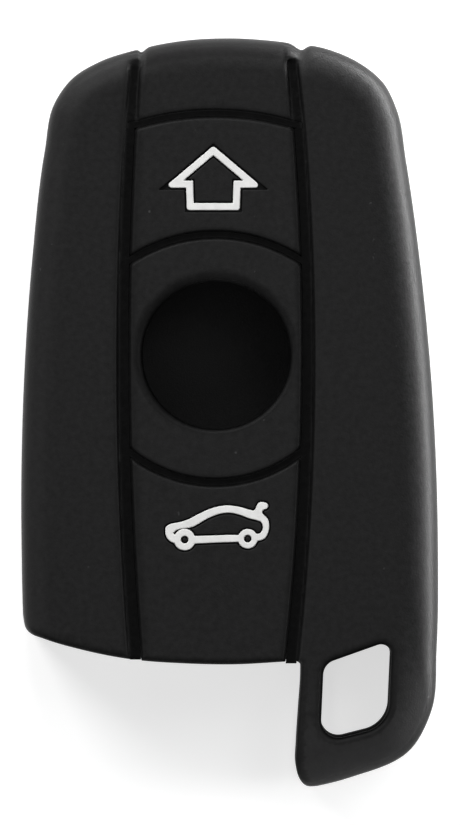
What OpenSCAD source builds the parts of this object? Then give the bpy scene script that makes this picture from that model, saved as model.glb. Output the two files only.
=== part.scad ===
// Moulded silicone cover for a slot-type car remote, lying on its flat back.
// X runs across the cover, Y towards its closed end, Z out of the button side.

/* [Body] */
// Length, from the closed end to the tip of the ring loop
body_l = 78; // [72:0.5:86]
// Width across the widest point
body_w = 43.4; // [40:0.2:48]
// Thickness, from the flat back to the crest of the button side
body_t = 15; // [13.5:0.1:17]
// Thickness of the side walls and of the closed end
wall = 1.5; // [1.3:0.1:2]
// Thickness of the back
back_wall = 1.5; // [1.2:0.1:2]
// Thickness of the button side at its crest
front_wall = 1.8; // [1.6:0.1:2.2]
// Fall of the button side from its crest to its long edges
crown_across = 0.5; // [0:0.1:0.8]
// Fall of the button side from its crest to its ends
crown_along = 0.4; // [0:0.1:0.6]
// Radius of the edge round the button side
front_round = 3.2; // [2.4:0.1:4]
// Radius of the edge round the back
back_round = 2; // [1.6:0.1:2.6]
// Radius in the corner between the mouth and the ring loop
notch_round = 0.5; // [0.2:0.1:1]

/* [Grooves] */
// Width of the two long grooves at the closed end
groove_w_top = 1.25; // [0.9:0.05:1.6]
// Width of the two long grooves at the mouth
groove_w_mouth = 1.5; // [0.9:0.05:1.7]
// Thickness of the flexing skin left under a groove
web_t = 0.55; // [0.4:0.05:0.8]
// Depth of the long grooves where they run down the closed end
end_groove_depth = 0.45; // [0.2:0.05:0.7]
// Left long groove, from the middle of the cover at its widest place
strip_left = 11.05; // [10:0.05:12]
// Right long groove, from the middle of the cover at its widest place
strip_right = 8.1; // [7.5:0.05:9]
// How far the left groove bows in, one bow length from its widest place
left_bow = 1.15; // [0:0.05:1.6]
// How far the right groove bows in, one bow length from its widest place
right_bow = 1.55; // [0:0.05:2]
// Bow length
bow_l = 30; // [24:1:36]
// Widest place of the strip, from the closed end
bow_in = 33; // [31:0.5:35]

/* [Cross grooves] */
// Middle of the strip that the cross grooves are centred on
strip_x = -1.5; // [-2:0.1:-1]
// Width of a cross groove
cross_w = 0.75; // [0.5:0.05:1]
// Crest of the groove between the end cap and the unlock pad, from the closed end
cap_groove_in = 7.75; // [7:0.25:8.5]
// Radius of that groove
cap_groove_r = 28.8; // [24:0.2:34]
// Crest of the groove between the unlock pad and the lock pad, from the closed end
lock_groove_in = 20.3; // [19.5:0.1:21]
// Radius of that groove
lock_groove_r = 16.2; // [15:0.2:20]
// Lowest point of the groove between the lock pad and the boot pad, from the closed end
boot_groove_in = 46.15; // [45.5:0.05:47]
// Radius of that groove
boot_groove_r = 14.2; // [13:0.2:18]

/* [Window] */
// Radius of the round window
window_r = 7.75; // [7:0.05:8]
// Middle of the window, across the cover
window_x = -1.4; // [-1.8:0.1:-1]
// Middle of the window, from the closed end
window_in = 32.85; // [32.2:0.05:33.4]
// Radius of the soft lip round the window
window_lip = 0.6; // [0.2:0.1:0.9]

/* [Pads] */
// Radius of the corners of the pads
pad_corner = 0.3; // [0.2:0.05:0.8]
// Gap between a pad and its web
web_gap = 0.04; // [0.02:0.01:0.1]

/* [Pictograms] */
// Width of the white lines
line_w = 0.75; // [0.5:0.05:0.9]
// Depth of the pockets that hold the white lines
pocket_depth = 0.4; // [0.3:0.05:0.6]
// Gap between a white line and the side of its pocket
pocket_gap = 0.16; // [0.08:0.02:0.24]
// Thickness of the white fill
fill_t = 0.3; // [0.2:0.05:0.35]
// Width of the unlock arrow between its sharp tips
arrow_w = 10.05; // [9:0.05:11]
// Height of the unlock arrow
arrow_h = 6.65; // [6:0.05:7.5]
// Middle of the unlock arrow, across the cover
arrow_x = -1.7; // [-2.2:0.1:-1]
// Middle of the unlock arrow, from the closed end
arrow_in = 14.7; // [14.2:0.1:15.2]
// Length of the boot pictogram
car_l = 10.8; // [9.5:0.1:12]
// Height of the boot pictogram
car_h = 5; // [4.5:0.1:5.5]
// Middle of the boot pictogram, across the cover
car_x = -1.3; // [-2:0.1:-0.8]
// Middle of the boot pictogram, from the closed end
car_in = 50.85; // [50.5:0.05:52]

/* [Ring eye] */
// Radius of the eye's upper inner corner
eye_upper_inner_r = 1.6; // [1:0.05:2.2]
// Radius of the eye's upper outer corner
eye_upper_outer_r = 1.05; // [0.6:0.05:1.6]
// Radius of the eye's lower outer corner
eye_lower_outer_r = 3.05; // [2.2:0.05:3.4]
// Radius of the eye's lower inner corner
eye_lower_inner_r = 1.85; // [1.2:0.05:2.2]

/* [Hidden] */

half_w = body_w / 2;
half_l = body_l / 2;
ceiling = body_t - front_wall;
groove_floor = ceiling + web_t;
bow_y = half_l - bow_in;
cap_groove_y = half_l - cap_groove_in;
lock_groove_y = half_l - lock_groove_in;
boot_groove_y = half_l - boot_groove_in;
window_y = half_l - window_in;
arrow_y = half_l - arrow_in;
car_y = half_l - car_in;
over = 1;
curve_steps = 4;
across = 6;
edge_steps = 5;
back_steps = 3;
strip_steps = 28;

// Outline of the whole key space, counter-clockwise from the middle of the closed end,
// as shares of half the width and half the length
outline_shares = [
    [0, 1], [-0.238, 0.9925], [-0.45, 0.969], [-0.6305, 0.936], [-0.755, 0.893],
    [-0.8436, 0.824], [-0.888, 0.701], [-0.949, 0.407], [-0.991, 0.047], [-1, -0.353],
    [-0.984, -0.62], [-0.949, -0.789], [-0.838, -0.901], [-0.574, -0.981], [-0.286, -1.013],
    [0, -1.026], [0.337, -1.0055], [0.578, -0.974], [0.871, -0.8975], [0.969, -0.794],
    [0.993, -0.634], [1, -0.3535], [0.975, 0.034], [0.9155, 0.394], [0.846, 0.674],
    [0.803, 0.808], [0.739, 0.88], [0.6165, 0.936], [0.481, 0.969], [0.2415, 0.991]
];
// Rim of the mouth, from outside the left wall to the corner beside the ring loop
mouth_shares = [
    [-1.035, -0.5], [-1.004, -0.546], [-0.984, -0.5735], [-0.958, -0.588], [-0.891, -0.603],
    [-0.718, -0.631], [-0.488, -0.6565], [-0.2, -0.669], [0.03, -0.671], [0.26, -0.664],
    [0.34, -0.6615]
];
// Free edge of the ring loop, from that corner round its tip
loop_shares = [
    [0.34, -0.6615], [0.3405, -0.692], [0.329, -0.794], [0.3185, -0.887], [0.316, -0.938],
    [0.324, -0.962], [0.3445, -0.985], [0.373, -0.9985], [0.414, -1.005], [0.48, -1.013]
];
outside_share = 1.3;
// Centres of the eye's corners: upper inner, upper outer, lower outer, lower inner
eye_shares = [[0.522, -0.7], [0.721, -0.645], [0.618, -0.7645], [0.524, -0.8115]];
eye_radii = [eye_upper_inner_r, eye_upper_outer_r, eye_lower_outer_r, eye_lower_inner_r];

// Right half of the unlock arrow from its apex, as shares of half its width and of its height
arrow_shares = [[0, 1], [1, 0.348], [0.576, 0.348], [0.56, 0]];
arrow_tip_round = 0.3;
// Boot pictogram seen from the side, as shares of its length and of its height
car_body_shares = [
    [0.003, 0.4], [0.01, 0.48], [0.05, 0.54], [0.13, 0.58], [0.2, 0.63], [0.29, 0.71],
    [0.37, 0.79], [0.44, 0.86], [0.52, 0.905], [0.6, 0.92], [0.675, 0.91], [0.75, 0.87],
    [0.83, 0.83], [0.88, 0.92], [0.9, 0.985], [0.94, 1], [0.985, 0.965], [0.98, 0.89],
    [0.94, 0.84], [0.95, 0.76], [0.985, 0.68], [1, 0.6], [0.995, 0.4], [0.985, 0.3],
    [0.95, 0.22], [0.88, 0.2], [0.78, 0.165], [0.28, 0.15], [0.1, 0.16], [0.03, 0.24]
];
car_window_shares = [
    [0.27, 0.45], [0.31, 0.55], [0.38, 0.635], [0.46, 0.71], [0.54, 0.76], [0.6, 0.775],
    [0.67, 0.765], [0.75, 0.715], [0.83, 0.655], [0.9, 0.61], [0.935, 0.54], [0.93, 0.43],
    [0.89, 0.37], [0.87, 0.38], [0.835, 0.44], [0.79, 0.46], [0.745, 0.44], [0.71, 0.38],
    [0.68, 0.315], [0.31, 0.305]
];
wheel_shares = [[0.186, 0.205], [0.797, 0.235]];
wheel_r = 1.02;
hub_r = 0.34;

// A direction of length one from a to b
function heading(a, b) = (b - a) / norm(b - a);
// The heading of a smooth curve through b, coming from a and going on to c
function bend(a, b, c) =
    (heading(a, b) * norm(c - b) + heading(b, c) * norm(b - a)) / (norm(c - b) + norm(b - a));
// A point at share t between a and b, which the curve leaves and meets on the given headings
function between(a, b, from, to, t) =
    let (d = norm(b - a))
    a * (2 * t ^ 3 - 3 * t ^ 2 + 1) + b * (3 * t ^ 2 - 2 * t ^ 3)
    + from * (d * (t ^ 3 - 2 * t ^ 2 + t)) + to * (d * (t ^ 3 - t ^ 2));
// A closed smooth curve through p
function closed_curve(p, steps) =
    let (n = len(p))
    [for (i = [0 : n - 1])
        let (
            before = p[(i + n - 1) % n], a = p[i], b = p[(i + 1) % n], after = p[(i + 2) % n]
        )
        for (s = [0 : steps - 1]) between(a, b, bend(before, a, b), bend(a, b, after), s / steps)
    ];
// An open smooth curve through p
function open_curve(p, steps) =
    let (n = len(p))
    concat(
        [for (i = [0 : n - 2])
            let (
                a = p[i], b = p[i + 1],
                from = i == 0 ? heading(a, b) : bend(p[i - 1], a, b),
                to = i == n - 2 ? heading(a, b) : bend(a, b, p[i + 2])
            )
            for (s = [0 : steps - 1]) between(a, b, from, to, s / steps)
        ],
        [p[n - 1]]
    );
function sized(shares) = [for (s = shares) [s[0] * half_w, s[1] * half_l]];

outline = closed_curve(sized(outline_shares), curve_steps);
count = len(outline);
rows = count / 2;

// Direction from a point of the outline towards the inside
function inward(k) =
    let (h = heading(outline[(k + count - 1) % count], outline[(k + 1) % count]))
    [-h[1], h[0]];
function inset_outline(d) = [for (k = [0 : count - 1]) outline[k] + inward(k) * d];
// Height of the button side
function front_z(p) =
    body_t - crown_across * (p[0] / half_w) ^ 2 - crown_along * (p[1] / half_l) ^ 2;
function flat_ring(d, z) = [for (p = inset_outline(d)) [p[0], p[1], z]];
function front_ring(d, drop) = [for (p = inset_outline(d)) [p[0], p[1], front_z(p) - drop]];

// Faces between rings of equal length, and a flat face under the first
function ring_faces(ring_count) = concat(
    [[for (k = [0 : count - 1]) k]],
    [for (r = [0 : ring_count - 2], k = [0 : count - 1])
        let (p = r * count + k, q = r * count + (k + 1) % count)
        for (f = [[p, p + count, q + count], [p, q + count, q]]) f
    ]
);

// The cover as a full block, before it is hollowed and cut at the mouth
module block() {
    rings = concat(
        [for (s = [0 : back_steps])
            let (a = 90 * s / back_steps)
            flat_ring(back_round * (1 - sin(a)), back_round * (1 - cos(a)))
        ],
        [for (s = [0 : edge_steps])
            let (a = 90 * s / edge_steps)
            front_ring(front_round * (1 - cos(a)), front_round * (1 - sin(a)))
        ]
    );
    last = rings[len(rings) - 1];
    last_start = (len(rings) - 1) * count;
    crown_start = len(rings) * count;
    crown = [for (i = [1 : rows - 1], j = [1 : across - 1])
        let (
            left = last[i], right = last[count - i], t = j / across,
            p = [left[0] * (1 - t) + right[0] * t, left[1] * (1 - t) + right[1] * t]
        )
        [p[0], p[1], front_z(p)]
    ];
    function at(i, j) =
        i == 0 || j == 0 ? last_start + i
        : i == rows ? last_start + rows
        : j == across ? last_start + count - i
        : crown_start + (i - 1) * (across - 1) + j - 1;
    crown_faces = [for (i = [0 : rows - 1], j = [0 : across - 1])
        let (a = at(i, j), b = at(i, j + 1), c = at(i + 1, j + 1), d = at(i + 1, j))
        for (f = [if (i > 0) [a, b, c], if (i < rows - 1) [a, c, d]]) f
    ];
    polyhedron(concat([for (r = rings) for (p = r) p], crown),
        concat(ring_faces(len(rings)), crown_faces));
}

// The space for the key, whose ceiling is flat
module key_space() {
    inner_round = front_round - wall;
    inner_back = max(back_round - wall, wall / 4);
    rings = concat(
        [flat_ring(wall + inner_back, back_wall), flat_ring(wall, back_wall + inner_back)],
        [for (s = [0 : back_steps])
            let (a = 90 * s / back_steps)
            flat_ring(wall + inner_round * (1 - cos(a)), ceiling - inner_round * (1 - sin(a)))
        ]
    );
    top = (len(rings) - 1) * count;
    polyhedron([for (r = rings) for (p = r) p],
        concat(ring_faces(len(rings)), [[for (k = [count - 1 : -1 : 0]) top + k]]));
}

// Everything beyond the rim of the mouth and the free edge of the ring loop
module mouth_shape() {
    offset(r = notch_round, $fn = 32) offset(delta = -notch_round)
        polygon(concat(
            open_curve(sized(mouth_shares), curve_steps),
            open_curve(sized(loop_shares), curve_steps),
            sized([
                [loop_shares[len(loop_shares) - 1][0], -outside_share],
                [-outside_share, -outside_share], [-outside_share, mouth_shares[0][1]]
            ])
        ));
}

module through(low = -over, high = body_t + over) {
    translate([0, 0, low]) linear_extrude(high - low) children();
}

module mouth_cut() {
    through() mouth_shape();
}

// Middle line and width of the long grooves at a height y
function bow(y) = ((y - bow_y) / bow_l) ^ 2;
function left_x(y) = -strip_left + left_bow * bow(y);
function right_x(y) = strip_right - right_bow * bow(y);
function groove_w(y) =
    groove_w_top + (groove_w_mouth - groove_w_top) * (half_l - y) / body_l;
function strip_y(s) = half_l + over - s / strip_steps * (body_l + 2 * over);

// Plan of the strip between the long grooves, to their inner or outer sides
module strip_shape(side) {
    polygon(concat(
        [for (s = [0 : strip_steps]) let (y = strip_y(s)) [left_x(y) - side * groove_w(y) / 2, y]],
        [for (s = [strip_steps : -1 : 0])
            let (y = strip_y(s)) [right_x(y) + side * groove_w(y) / 2, y]]
    ));
}

// Disc whose edge is the middle line of a cross groove, grown or shrunk
module arch(crest_y, r, grow) {
    translate([strip_x, crest_y - r]) circle(r + grow, $fn = 240);
}
module bowl(crest_y, r, grow) {
    translate([strip_x, crest_y + r]) circle(r + grow, $fn = 240);
}

// Plans of the three pads. A side of 1 gives the hole that a pad and its web fill, and
// a side of -1 the pad itself
module below_arch(crest_y, r, grow) {
    arch(crest_y, r, grow);
    translate([-half_w, -body_l]) square([body_w, body_l + crest_y - r]);
}
module unlock_shape(side, joint) {
    difference() {
        intersection() {
            strip_shape(side);
            below_arch(cap_groove_y, cap_groove_r, side * cross_w / 2);
        }
        below_arch(lock_groove_y, lock_groove_r, joint);
    }
}
module lock_shape(side, joint) {
    intersection() {
        strip_shape(side);
        below_arch(lock_groove_y, lock_groove_r, -joint);
        above_bowl(-joint);
    }
}
module above_bowl(grow) {
    bowl(boot_groove_y, boot_groove_r, grow);
    translate([-half_w, boot_groove_y + boot_groove_r]) square([body_w, body_l]);
}
module boot_shape(side, joint) {
    difference() {
        strip_shape(side);
        above_bowl(joint);
        mouth_shape();
    }
}
module pad_corners() {
    offset(r = pad_corner, $fn = 32) offset(delta = -pad_corner) children();
}

// Button side of the strip: flat below, crowned above
module strip_block() {
    nx = 8;
    ny = 20;
    low_x = -strip_left - groove_w_mouth;
    high_x = strip_right + groove_w_mouth;
    points = [for (level = [0, 1], j = [0 : ny], i = [0 : nx])
        let (p = [low_x + (high_x - low_x) * i / nx, -half_l + body_l * j / ny])
        [p[0], p[1], level == 0 ? ceiling : front_z(p)]
    ];
    n = (nx + 1) * (ny + 1);
    function at(i, j, level) = level * n + j * (nx + 1) + i;
    faces = concat(
        [for (i = [0 : nx - 1], j = [0 : ny - 1])
            [at(i, j, 0), at(i + 1, j, 0), at(i + 1, j + 1, 0), at(i, j + 1, 0)]],
        [for (i = [0 : nx - 1], j = [0 : ny - 1])
            let (a = at(i, j, 1), b = at(i + 1, j, 1), c = at(i + 1, j + 1, 1), d = at(i, j + 1, 1))
            for (f = [[a, c, b], [a, d, c]]) f],
        [for (i = [0 : nx - 1])
            for (f = [[at(i, 0, 0), at(i, 0, 1), at(i + 1, 0, 1), at(i + 1, 0, 0)],
                [at(i + 1, ny, 0), at(i + 1, ny, 1), at(i, ny, 1), at(i, ny, 0)]]) f],
        [for (j = [0 : ny - 1])
            for (f = [[at(0, j + 1, 0), at(0, j + 1, 1), at(0, j, 1), at(0, j, 0)],
                [at(nx, j, 0), at(nx, j, 1), at(nx, j + 1, 1), at(nx, j + 1, 0)]]) f]
    );
    polyhedron(points, faces);
}

// Unlock arrow: an arrow head on a short stem, drawn as a line of even width
module arrow_solid_shape() {
    translate([arrow_x, arrow_y - arrow_h / 2])
        polygon(concat(
            [for (s = arrow_shares) [s[0] * arrow_w / 2, s[1] * arrow_h]],
            [for (i = [len(arrow_shares) - 1 : -1 : 1])
                [-arrow_shares[i][0] * arrow_w / 2, arrow_shares[i][1] * arrow_h]]
        ));
}
module arrow_shape(grow) {
    difference() {
        offset(delta = grow) arrow_solid_shape();
        offset(delta = -line_w - grow) arrow_solid_shape();
    }
}
module arrow_line_shape() {
    difference() {
        offset(r = arrow_tip_round, $fn = 24) offset(delta = -arrow_tip_round)
            arrow_solid_shape();
        offset(delta = -line_w) arrow_solid_shape();
    }
}

// Boot pictogram: a car seen from the side with its boot lid raised
function car_point(s) = [car_x + (s[0] - 0.5) * car_l, car_y + (s[1] - 0.5) * car_h];
module car_outer_shape() {
    polygon([for (s = car_body_shares) car_point(s)]);
    for (s = wheel_shares) translate(car_point(s)) circle(wheel_r, $fn = 48);
}
module car_inner_shape() {
    polygon([for (s = car_window_shares) car_point(s)]);
    for (s = wheel_shares) translate(car_point(s)) circle(hub_r, $fn = 24);
}
module car_shape(grow) {
    difference() {
        offset(delta = grow) car_outer_shape();
        offset(delta = -grow) car_inner_shape();
    }
}

module eye_shape() {
    hull() for (i = [0 : len(eye_shares) - 1])
        translate([eye_shares[i][0] * half_w, eye_shares[i][1] * half_l])
            circle(eye_radii[i], $fn = 48);
}

// Plan of the long grooves beside the end cap
module end_groove_shape() {
    difference() {
        strip_shape(1);
        strip_shape(-1);
        below_arch(cap_groove_y, cap_groove_r, -cross_w);
    }
}

module sleeve() {
    color([0.11, 0.11, 0.115]) difference() {
        block();
        key_space();
        mouth_cut();
        // The opening that the pads and their webs fill
        through(ceiling - over) intersection() {
            strip_shape(1);
            below_arch(cap_groove_y, cap_groove_r, cross_w / 2);
        }
        // The long grooves beside the end cap, over the front and down the closed end
        through(groove_floor) end_groove_shape();
        through() difference() {
            end_groove_shape();
            polygon(inset_outline(end_groove_depth));
        }
        through() eye_shape();
    }
}

module web() {
    color([0.07, 0.07, 0.072]) through(ceiling, groove_floor) children();
}
module unlock_web() {
    web() difference() {
        unlock_shape(1, 0);
        offset(delta = web_gap) pad_corners() unlock_shape(-1, cross_w / 2);
    }
}
module lock_web() {
    web() difference() {
        lock_shape(1, 0);
        offset(delta = web_gap) pad_corners() lock_shape(-1, cross_w / 2);
    }
}
module boot_web() {
    web() difference() {
        boot_shape(1, 0);
        offset(delta = web_gap) pad_corners() boot_shape(-1, cross_w / 2);
    }
}

arrow_floor = front_z([arrow_x, arrow_y]) - pocket_depth;
car_floor = front_z([car_x, car_y]) - pocket_depth;

module unlock_pad() {
    color([0.12, 0.12, 0.125]) difference() {
        intersection() {
            strip_block();
            through() pad_corners() unlock_shape(-1, cross_w / 2);
        }
        through(arrow_floor) arrow_shape(pocket_gap);
    }
}
module lock_pad() {
    window = [window_x, window_y];
    lip_top = front_z(window);
    color([0.12, 0.12, 0.125]) difference() {
        intersection() {
            strip_block();
            through() pad_corners() lock_shape(-1, cross_w / 2);
        }
        translate([window[0], window[1], ceiling - over])
            cylinder(h = front_wall + 2 * over, r = window_r, $fn = 96);
        // The lip is rounded off towards the finger
        translate([window[0], window[1], lip_top - window_lip])
            rotate_extrude($fn = 96) difference() {
                square([window_r + window_lip, window_lip + over]);
                translate([window_r + window_lip, 0]) circle(window_lip, $fn = 48);
            }
    }
}
module boot_pad() {
    color([0.12, 0.12, 0.125]) difference() {
        intersection() {
            strip_block();
            through() pad_corners() boot_shape(-1, cross_w / 2);
        }
        through(car_floor) car_shape(pocket_gap);
    }
}
module unlock_arrow() {
    color([0.92, 0.92, 0.92]) through(arrow_floor, arrow_floor + fill_t) arrow_line_shape();
}
module boot_pictogram() {
    color([0.92, 0.92, 0.92]) through(car_floor, car_floor + fill_t) car_shape(0);
}

sleeve();
unlock_web();
lock_web();
boot_web();
unlock_pad();
lock_pad();
boot_pad();
unlock_arrow();
boot_pictogram();
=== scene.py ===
"""Dressed model of a moulded silicone cover for a slot-type car remote.

The cover lies on its flat back. X runs across it, Y towards its closed end and Z out of the
button side. Every length is in metres.
"""

import math

import bmesh
import bpy
import numpy as np
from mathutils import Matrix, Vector


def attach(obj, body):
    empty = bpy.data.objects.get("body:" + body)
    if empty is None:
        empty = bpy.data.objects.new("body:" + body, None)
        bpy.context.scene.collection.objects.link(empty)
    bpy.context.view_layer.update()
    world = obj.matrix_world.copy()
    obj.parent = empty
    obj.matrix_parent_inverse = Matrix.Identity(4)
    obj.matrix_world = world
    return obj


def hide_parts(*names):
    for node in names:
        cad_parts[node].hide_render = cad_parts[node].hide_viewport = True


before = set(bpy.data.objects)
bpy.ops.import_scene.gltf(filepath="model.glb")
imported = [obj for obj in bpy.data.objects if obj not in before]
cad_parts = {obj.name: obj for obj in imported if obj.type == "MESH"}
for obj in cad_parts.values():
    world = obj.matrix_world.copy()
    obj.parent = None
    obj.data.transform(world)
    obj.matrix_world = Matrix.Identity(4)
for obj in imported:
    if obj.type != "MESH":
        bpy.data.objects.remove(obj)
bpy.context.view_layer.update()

bl_info = {
    "name": "Key fob cover",
    "version": (1, 0, 0),
    "blender": (4, 5, 0),
    "location": "3D View > Sidebar > Key cover",
    "description": "Builds a moulded silicone key fob cover with press pads and white pictograms",
    "category": "Add Mesh",
}

MM = 0.001

# Outline of the whole key space, counter-clockwise from the middle of the closed end,
# as shares of half the width and half the length
OUTLINE_SHARES = (
    (0, 1), (-0.238, 0.9925), (-0.45, 0.969), (-0.6305, 0.936), (-0.755, 0.893),
    (-0.8436, 0.824), (-0.888, 0.701), (-0.949, 0.407), (-0.991, 0.047), (-1, -0.353),
    (-0.984, -0.62), (-0.949, -0.789), (-0.838, -0.901), (-0.574, -0.981), (-0.286, -1.013),
    (0, -1.026), (0.337, -1.0055), (0.578, -0.974), (0.871, -0.8975), (0.969, -0.794),
    (0.993, -0.634), (1, -0.3535), (0.975, 0.034), (0.9155, 0.394), (0.846, 0.674),
    (0.803, 0.808), (0.739, 0.88), (0.6165, 0.936), (0.481, 0.969), (0.2415, 0.991),
)
# Rim of the mouth, from outside the left wall to the corner beside the ring loop
MOUTH_SHARES = (
    (-1.035, -0.5), (-1.004, -0.546), (-0.984, -0.5735), (-0.958, -0.588), (-0.891, -0.603),
    (-0.718, -0.631), (-0.488, -0.6565), (-0.2, -0.669), (0.03, -0.671), (0.26, -0.664),
    (0.34, -0.6615),
)
# Free edge of the ring loop, from that corner round its tip
LOOP_SHARES = (
    (0.34, -0.6615), (0.3405, -0.692), (0.329, -0.794), (0.3185, -0.887), (0.316, -0.938),
    (0.324, -0.962), (0.3445, -0.985), (0.373, -0.9985), (0.414, -1.005), (0.48, -1.013),
)
# Well past the cover
OUTSIDE_SHARE = 1.3
# Dents in the closed end: middle across the cover, width to either side and depth in millimetres
END_DENTS = ((-9.18, 0.3, 0.5, 0.36), (7.45, 0.85, 0.62, 0.6))
# Centres of the eye's corners, with the radius of each as a share of half the width
EYE_SHARES = (
    (0.522, -0.7, 0.0737), (0.725, -0.645, 0.0484), (0.617, -0.7705, 0.146),
    (0.524, -0.8185, 0.0853),
)
# Right half of the unlock arrow from its apex, as shares of half its width and of its height
ARROW_SHARES = ((0, 1), (1, 0.326), (0.53, 0.326), (0.517, 0))
# Smooth outline of the boot pictogram seen from the side, as shares of its length and height
CAR_BODY_SHARES = (
    (0, 0.408), (0.003, 0.477), (0.02, 0.523), (0.05, 0.554), (0.141, 0.594), (0.189, 0.623),
    (0.334, 0.776), (0.43, 0.869), (0.527, 0.927), (0.6, 0.941), (0.7, 0.917), (0.83, 0.841),
    (0.848, 0.834), (0.866, 0.865), (0.884, 0.954), (0.9, 0.996), (0.924, 1.01),
    (0.957, 1.006), (0.983, 0.977), (0.991, 0.931), (0.979, 0.876), (0.953, 0.856),
    (0.936, 0.825), (0.934, 0.79), (0.948, 0.746), (0.992, 0.642), (0.999, 0.565),
    (0.991, 0.38), (0.953, 0.248), (0.88, 0.2), (0.7, 0.181), (0.5, 0.168), (0.298, 0.148),
    (0.1, 0.15), (0.044, 0.2), (0.006, 0.321),
)
# The same for the opening between its lines, which the wheels cover again
CAR_WINDOW_SHARES = (
    (0.083, 0.345), (0.077, 0.365), (0.09, 0.4), (0.14, 0.451), (0.23, 0.478), (0.269, 0.498),
    (0.334, 0.576), (0.43, 0.692), (0.527, 0.767), (0.623, 0.788), (0.719, 0.742),
    (0.816, 0.665), (0.89, 0.625), (0.92, 0.6), (0.936, 0.54), (0.931, 0.41), (0.896, 0.35),
    (0.875, 0.357), (0.8, 0.331), (0.6, 0.3265), (0.398, 0.3125), (0.2, 0.31),
)
# Centres of its wheels and the radius of each in millimetres
WHEELS = ((0.187, 0.229, 1.12), (0.794, 0.248, 1.02))
# Name, place, width and height in metres and power in watts of every softbox
SOFTBOXES = (
    ("closed_end_left", (-0.355, 0.423, 0.441), (0.24, 0.24), 2.65),
    ("closed_end", (0, 0.552, 0.441), (0.24, 0.24), 2.01),
    ("right", (0.658, 0, 0.249), (0.24, 0.24), 1.62),
    ("above", (0.211, 0.252, 0.628), (0.24, 0.24), 0.66),
    ("left", (-0.552, 0, 0.441), (0.24, 0.24), 0.55),
    ("mouth_end", (0, -0.552, 0.441), (0.24, 0.24), 0.29),
    ("right_strip", (0.1, 0.04, 0.007), (0.2, 0.012), 0.8),
    ("closed_end_strip", (0, 0.12, 0.007), (0.3, 0.012), 0.19),
    ("mouth_end_strip", (0, -0.12, 0.007), (0.3, 0.012), 0.12),
)


def length_prop(name, description, millimetres):
    """A length that a user can change, with its default in millimetres"""
    return bpy.props.FloatProperty(
        name=name, description=description, default=millimetres * MM, precision=5, unit="LENGTH",
    )


def colour_prop(name, description, value):
    """A plain colour that a user can change"""
    return bpy.props.FloatVectorProperty(
        name=name, description=description, default=value, size=3, min=0, max=1, subtype="COLOR",
    )


class CoverSizes(bpy.types.PropertyGroup):
    """Sizes of the moulded body"""
    length: length_prop("Length", "From the closed end to the tip of the ring loop", 78)
    width: length_prop("Width", "Across the widest point", 43.4)
    thickness: length_prop("Thickness", "From the flat back to the crest of the front", 15)
    wall: length_prop("Wall", "Thickness of the side walls", 1.5)
    back_wall: length_prop("Back wall", "Thickness of the back", 1.5)
    front_wall: length_prop("Front wall", "Thickness of the button side at its crest", 1.8)
    crown_across: length_prop("Crown across", "Fall from the crest to the long edges", 0.5)
    crown_along: length_prop("Crown along", "Fall from the crest to the ends", 0.4)
    front_round: length_prop("Front edge", "Radius of the edge round the button side", 3.7)
    inner_round: length_prop("Inner edge", "Radius of the key space below that edge", 1.7)
    loop_front: length_prop("Loop front edge", "Radius of the button side's edge at the loop", 1)
    loop_fall: length_prop("Loop fall", "How far the button side falls to the loop's edge", 1.5)
    loop_reach: length_prop("Loop reach", "Over which distance it falls", 4.4)
    back_round: length_prop("Back edge", "Radius of the edge round the back", 2)
    rim_round: length_prop("Rim edge", "Radius of the edges of the mouth", 0.4)
    loop_round: length_prop("Loop edge", "Radius of the ring loop's free edge", 0.75)
    notch_round: length_prop("Notch", "Radius of the corner between mouth and ring loop", 0.6)
    eye_round: length_prop("Eye edge", "Radius of the edges of the ring eye", 0.7)
    cell: length_prop("Mesh size", "Distance between the points of the body's mesh", 0.2)


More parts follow.
